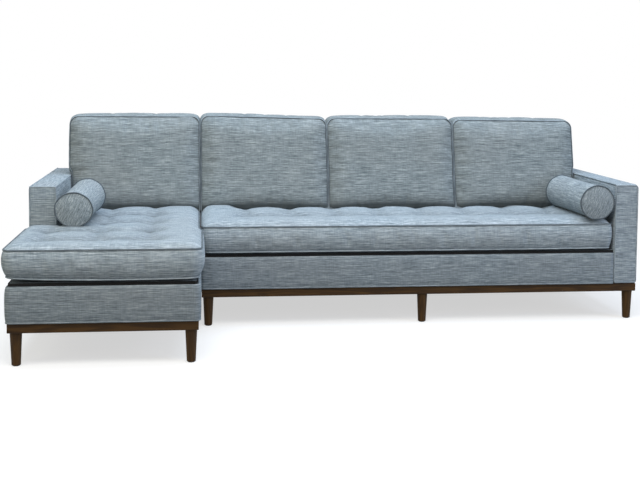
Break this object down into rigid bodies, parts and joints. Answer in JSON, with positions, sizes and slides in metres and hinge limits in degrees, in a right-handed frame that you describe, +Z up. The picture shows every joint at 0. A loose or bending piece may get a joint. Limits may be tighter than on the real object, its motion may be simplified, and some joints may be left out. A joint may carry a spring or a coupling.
{
  "type": "sectional sofa",
  "caption": "L-shaped sectional sofa with a left-hand chaise, tufted seat cushions, boxed back cushions, round bolsters, track arms and tapered wooden legs.",
  "frame": {"origin": "on the floor, under the middle of the whole object's box", "axes": "+X along the length towards the viewer's right, -Y towards the front, +Z up"},
  "size_m": [2.817, 1.562, 0.932],
  "materials": {
    "walnut": "satin lacquer",
    "frame_wood": "sawn",
    "base_tweed": "slubbed tweed",
    "cushion_tweed": "slubbed tweed",
    "deck_cloth": "plain weave",
    "webbing": "elastic webbing",
    "dust_cloth": "non-woven",
    "steel": "zinc plated",
    "glide": "moulded"
  },
  "bodies": {
    "sofa": {"right_arm_posts": "frame_wood", "right_arm_rails": "frame_wood", "right_arm_upholstery": "base_tweed", "sofa_back_board": "frame_wood", "sofa_back_legs": "walnut", "sofa_back_posts": "frame_wood", "sofa_back_rails": "frame_wood", "sofa_back_upholstery": "base_tweed", "sofa_connector_hooks": "steel", "sofa_deck": "deck_cloth", "sofa_dust_cloths": "dust_cloth", "sofa_front_board": "frame_wood", "sofa_front_legs": "walnut", "sofa_front_upholstery": "base_tweed", "sofa_glides": "glide", "sofa_leg_bolts": "steel", "sofa_plinth_back": "walnut", "sofa_plinth_cross_rail": "walnut", "sofa_plinth_front": "walnut", "sofa_plinth_sides": "walnut", "sofa_side_boards": "frame_wood", "sofa_side_upholstery": "base_tweed", "sofa_stretchers": "frame_wood", "sofa_webbing": "webbing"},
    "chaise": {"chaise_arm_board": "frame_wood", "chaise_back_board": "frame_wood", "chaise_back_legs": "walnut", "chaise_back_posts": "frame_wood", "chaise_back_rails": "frame_wood", "chaise_back_upholstery": "base_tweed", "chaise_connector_sockets": "steel", "chaise_cross_board": "frame_wood", "chaise_dust_cloth": "dust_cloth", "chaise_ear_board": "frame_wood", "chaise_front_board": "frame_wood", "chaise_front_deck": "deck_cloth", "chaise_front_legs": "walnut", "chaise_front_upholstery": "base_tweed", "chaise_glides": "glide", "chaise_left_upholstery": "base_tweed", "chaise_leg_bolts": "steel", "chaise_plinth_back": "walnut", "chaise_plinth_front": "walnut", "chaise_plinth_sides": "walnut", "chaise_rear_deck": "deck_cloth", "chaise_right_board": "frame_wood", "chaise_right_upholstery": "base_tweed", "chaise_webbing": "webbing", "left_arm_posts": "frame_wood", "left_arm_rails": "frame_wood", "left_arm_upholstery": "base_tweed"},
    "bench_cushion": {"bench_seat_cushion": "cushion_tweed"},
    "chaise_cushion": {"chaise_seat_cushion": "cushion_tweed"},
    "chaise_back_pillow": {"back_cushion_chaise": "cushion_tweed"},
    "left_back_pillow": {"back_cushion_left": "cushion_tweed"},
    "centre_back_pillow": {"back_cushion_centre": "cushion_tweed"},
    "right_back_pillow": {"back_cushion_right": "cushion_tweed"},
    "left_bolster_roll": {"left_bolster": "cushion_tweed"},
    "right_bolster_roll": {"right_bolster": "cushion_tweed"}
  },
  "joints": [
    {"name": "chaise_lift", "type": "slide", "parent": "sofa", "child": "chaise", "axis": [0, 0, 1], "range_m": [0, 0.06]},
    {"name": "bench_slide", "type": "slide", "parent": "sofa", "child": "bench_cushion", "axis": [0, -1, 0], "range_m": [0, 0.12]},
    {"name": "chaise_seat_slide", "type": "slide", "parent": "chaise", "child": "chaise_cushion", "axis": [0, -1, 0], "range_m": [0, 0.12]},
    {"name": "chaise_back_pillow_lift", "type": "slide", "parent": "chaise", "child": "chaise_back_pillow", "axis": [0, 0, 1], "range_m": [0, 0.3]},
    {"name": "left_back_pillow_lift", "type": "slide", "parent": "sofa", "child": "left_back_pillow", "axis": [0, 0, 1], "range_m": [0, 0.3]},
    {"name": "centre_back_pillow_lift", "type": "slide", "parent": "sofa", "child": "centre_back_pillow", "axis": [0, 0, 1], "range_m": [0, 0.3]},
    {"name": "right_back_pillow_lift", "type": "slide", "parent": "sofa", "child": "right_back_pillow", "axis": [0, 0, 1], "range_m": [0, 0.3]},
    {"name": "left_bolster_lift", "type": "slide", "parent": "chaise_cushion", "child": "left_bolster_roll", "axis": [0, 0, 1], "range_m": [0, 0.25]},
    {"name": "right_bolster_lift", "type": "slide", "parent": "bench_cushion", "child": "right_bolster_roll", "axis": [0, 0, 1], "range_m": [0, 0.25]}
  ]
}
